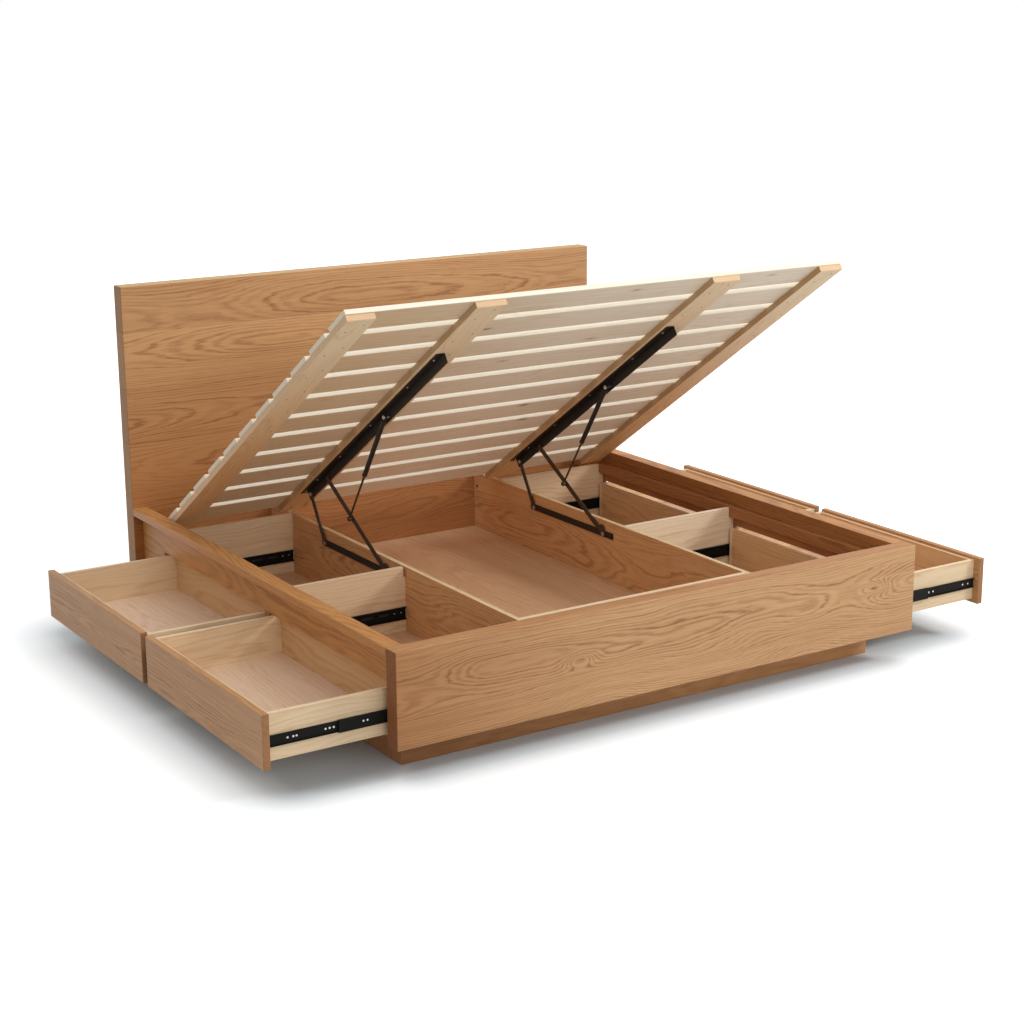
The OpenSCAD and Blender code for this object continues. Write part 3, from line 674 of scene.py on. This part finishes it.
# Bolts of the mounting plates (y, z) and of the lift angles (s, n), and screws up through the angles' flanges (s).
# From a divider's face: the outer faces of its plate and angle, and the row of flange screws. Flange thickness.
OUTER_FACE, FLANGE_ROW, FLANGE_T = 0.004, 0.021, 0.003
PLATE_BOLTS = ((-0.033, 0.316), (0.127, 0.308), (0.352, 0.311), (0.521, 0.307))
ANGLE_BOLTS = ((0.411, -0.056), (0.806, -0.056), (1.305, -0.053), (1.366, -0.051), (1.625, -0.056))
FLANGE_SCREWS = (0.40, 0.62, 0.95, 1.24, 1.47, 1.59)
PLATE_BOLT, ANGLE_BOLT, FLANGE_SCREW = screw(0.0034, 0.0012), screw(0.0048, 0.0016), screw(0.0042, 0.0014)
TO_LEFT = (-1, 0, 0)
for side, face in (("left", DIVIDER_LEFT[0][0]), ("right", DIVIDER_RIGHT[0][0])):
    plate = [((face - OUTER_FACE, y, z), TO_LEFT, PLATE_BOLT) for y, z in PLATE_BOLTS]
    angle = [(lid_point(face - OUTER_FACE, s, n), TO_LEFT, ANGLE_BOLT) for s, n in ANGLE_BOLTS]
    angle += [(lid_point(face - FLANGE_ROW, s, -BEAM_N - FLANGE_T), LID_DOWN, FLANGE_SCREW) for s in FLANGE_SCREWS]
    fitting("plate_bolts_" + side, "frame", [zinc], heads(plate))
    fitting("angle_bolts_" + side, "lid", [zinc], heads(angle))

# Collar at the rod end of each gas strut: its distance from the upper pivot, and the radius of the rod's eye
STRUT_TOP, COLLAR_AT, EYE_RADIUS = (0.833, -0.062), 0.288, 0.009
for side in SIDES:
    cyl = [v.co for v in frame["nodes"]["strut_cylinder_" + side].data.vertices]
    rod = [v.co for v in frame["nodes"]["strut_rod_" + side].data.vertices]
    x_mid = (min(v.x for v in cyl) + max(v.x for v in cyl)) / 2
    top = Vector((x_mid, *lid_point(0, *STRUT_TOP).yz))
    low_end = min(rod, key=lambda v: v.z)
    foot = Vector((x_mid, low_end.y, low_end.z + EYE_RADIUS))
    run = (foot - top).normalized()
    fitting("strut_collar_" + side, "strut_cylinder_" + side, [bronze_steel],
            heads([(top + run * COLLAR_AT, run, COLLAR)], 24))

# Nails through the beams into each slat, two to a crossing, a little off their marks
NAIL_X, NAIL_X_OFF, NAIL_S, NAIL_S_OFF = 0.024, 0.004, 0.026, 0.006
OUTER_BEAM_W = 0.104
rng = random.Random(7)
beam_mid = -(DIVIDER_LEFT[0][0] + DIVIDER_LEFT[1][0]) / 2
beam_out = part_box("lid_slats")[1][0] - OUTER_BEAM_W / 2
nails = []
for x in (-beam_out, -beam_mid, beam_mid, beam_out):
    for k in range(SLAT_N):
        s = k * SLAT_PITCH + SLAT_W / 2
        for d in (-1, 1):
            nail_x = x + d * (NAIL_X + rng.uniform(-NAIL_X_OFF, NAIL_X_OFF))
            nail_s = s - d * (NAIL_S + rng.uniform(-NAIL_S_OFF, NAIL_S_OFF))
            nails.append((lid_point(nail_x, nail_s, -BEAM_N), LID_DOWN, NAIL))
fitting("beam_nails", "lid", [bronze_steel], heads(nails, 10))

# Cable hole in the right divider, a rim round a dark disc of painted shadow, and rubber stops on both dividers
HOLE_Y, HOLE_Z, HOLE_D, STOP_Y = 0.957, 0.311, 0.011, 0.884
fitting("divider_hole", "frame", [bronze_steel, slot_painted_shadow],
        lambda bm: slot_mark(bm, (DIVIDER_RIGHT[0][0], HOLE_Y, HOLE_Z), TO_LEFT, (0, 1, 0), 0.0, HOLE_D))
stops = [((x, STOP_Y, DIVIDER_LEFT[1][2]), (0, 0, 1), STOP) for x in (-beam_mid, beam_mid)]
fitting("divider_stops", "frame", [bumper_white], heads(stops, 20))


# Lamps, world and floor
def light(name, loc, target, size, power, color):
    d = bpy.data.lights.new(name, "AREA")
    d.shape = "RECTANGLE"
    d.size, d.size_y = size
    d.energy = power
    d.color = color
    o = add_object(name, d)
    o.location = loc
    o.rotation_euler = (Vector(target) - Vector(loc)).to_track_quat("-Z", "Y").to_euler()


WARM = (1.0, 0.985, 0.96)
light("key_box", (6.0, -4.0, 4.6), (0, 0, 0.3), (1.6, 1.6), 260, WARM)
light("top_box", (0.4, -0.6, 5.2), (0, 0, 0), (5.0, 5.0), 75, (1.0, 0.99, 0.97))
light("front_box", (-1.5, -7.5, 3.0), (0, -0.6, 0.5), (5.0, 3.0), 110, WARM)

world = bpy.data.worlds.new("studio")
scene.world = world
world.use_nodes = True
ws = Nodes(world.node_tree)


def sky(strength):
    n = ws.new("ShaderNodeBackground")
    n.inputs["Color"].default_value = (1, 1, 1, 1)
    n.inputs["Strength"].default_value = strength
    return n.outputs[0]


LIT, SHOWN = 0.5, 1.0
ws.put(ws.new("ShaderNodeOutputWorld").inputs[0], ws.mix_shader(ws.seen(), sky(LIT), sky(SHOWN)))

# The floor is darker near two rectangles that stand for the bed with its drawers out: half sizes in metres.
# This shade is in the floor's colour and glow, and it stays where it is when the drawers close.
OUTLINES = ((1.34, 0.92), (0.95, 0.985))
FLOOR_REACH, FLOOR_SIZE, FLOOR_DROP = 5.0, 60, 0.0005
GLOW_STOPS = ((0.0, 0.0), (0.016, 0.07), (0.03, 0.27), (0.055, 0.48), (0.2, 0.72), (1.0, 1.0))
SHADE_STOPS = ((0.0, (0.62, 0.70, 0.76, 1)), (0.02, (0.82, 0.88, 0.92, 1)), (0.1, 0.9))
PLAIN_FLOOR = (0.6, 0.6, 0.6, 1)
bm = bmesh.new()
bmesh.ops.create_grid(bm, x_segments=1, y_segments=1, size=FLOOR_SIZE)
floor_mesh = bpy.data.meshes.new("floor")
bm.to_mesh(floor_mesh)
bm.free()
floor = add_object("floor", floor_mesh)
floor.location.z = -FLOOR_DROP

fs = Shader("floor_white")
fx, fy, _ = fs.xyz(fs.new("ShaderNodeTexCoord").outputs["Object"])


def beyond(place, half):
    return fs.math("MAXIMUM", fs.math("SUBTRACT", fs.math("ABSOLUTE", place), half), 0.0)


far = None
for half_x, half_y in OUTLINES:
    away = fs.length(fs.vec(beyond(fx, half_x), beyond(fy, half_y), 0.0))
    far = away if far is None else fs.math("MINIMUM", far, away)
reach = fs.math("DIVIDE", far, FLOOR_REACH)
plain = fs.new("ShaderNodeBsdfDiffuse")
plain.inputs["Color"].default_value = PLAIN_FLOOR
shown = fs.new("ShaderNodeBsdfDiffuse")
fs.put(shown.inputs["Color"], fs.ramp(reach, SHADE_STOPS))
glow = fs.new("ShaderNodeEmission")
fs.put(glow.inputs["Strength"], fs.ramp(reach, GLOW_STOPS))
both = fs.fill(fs.new("ShaderNodeAddShader"), (shown.outputs[0], glow.outputs[0]))
fs.put(fs.out.inputs[0], fs.mix_shader(fs.seen(), plain.outputs[0], both))
floor_mesh.materials.append(fs.mat)

bpy.context.scene.view_settings.view_transform = "Standard"
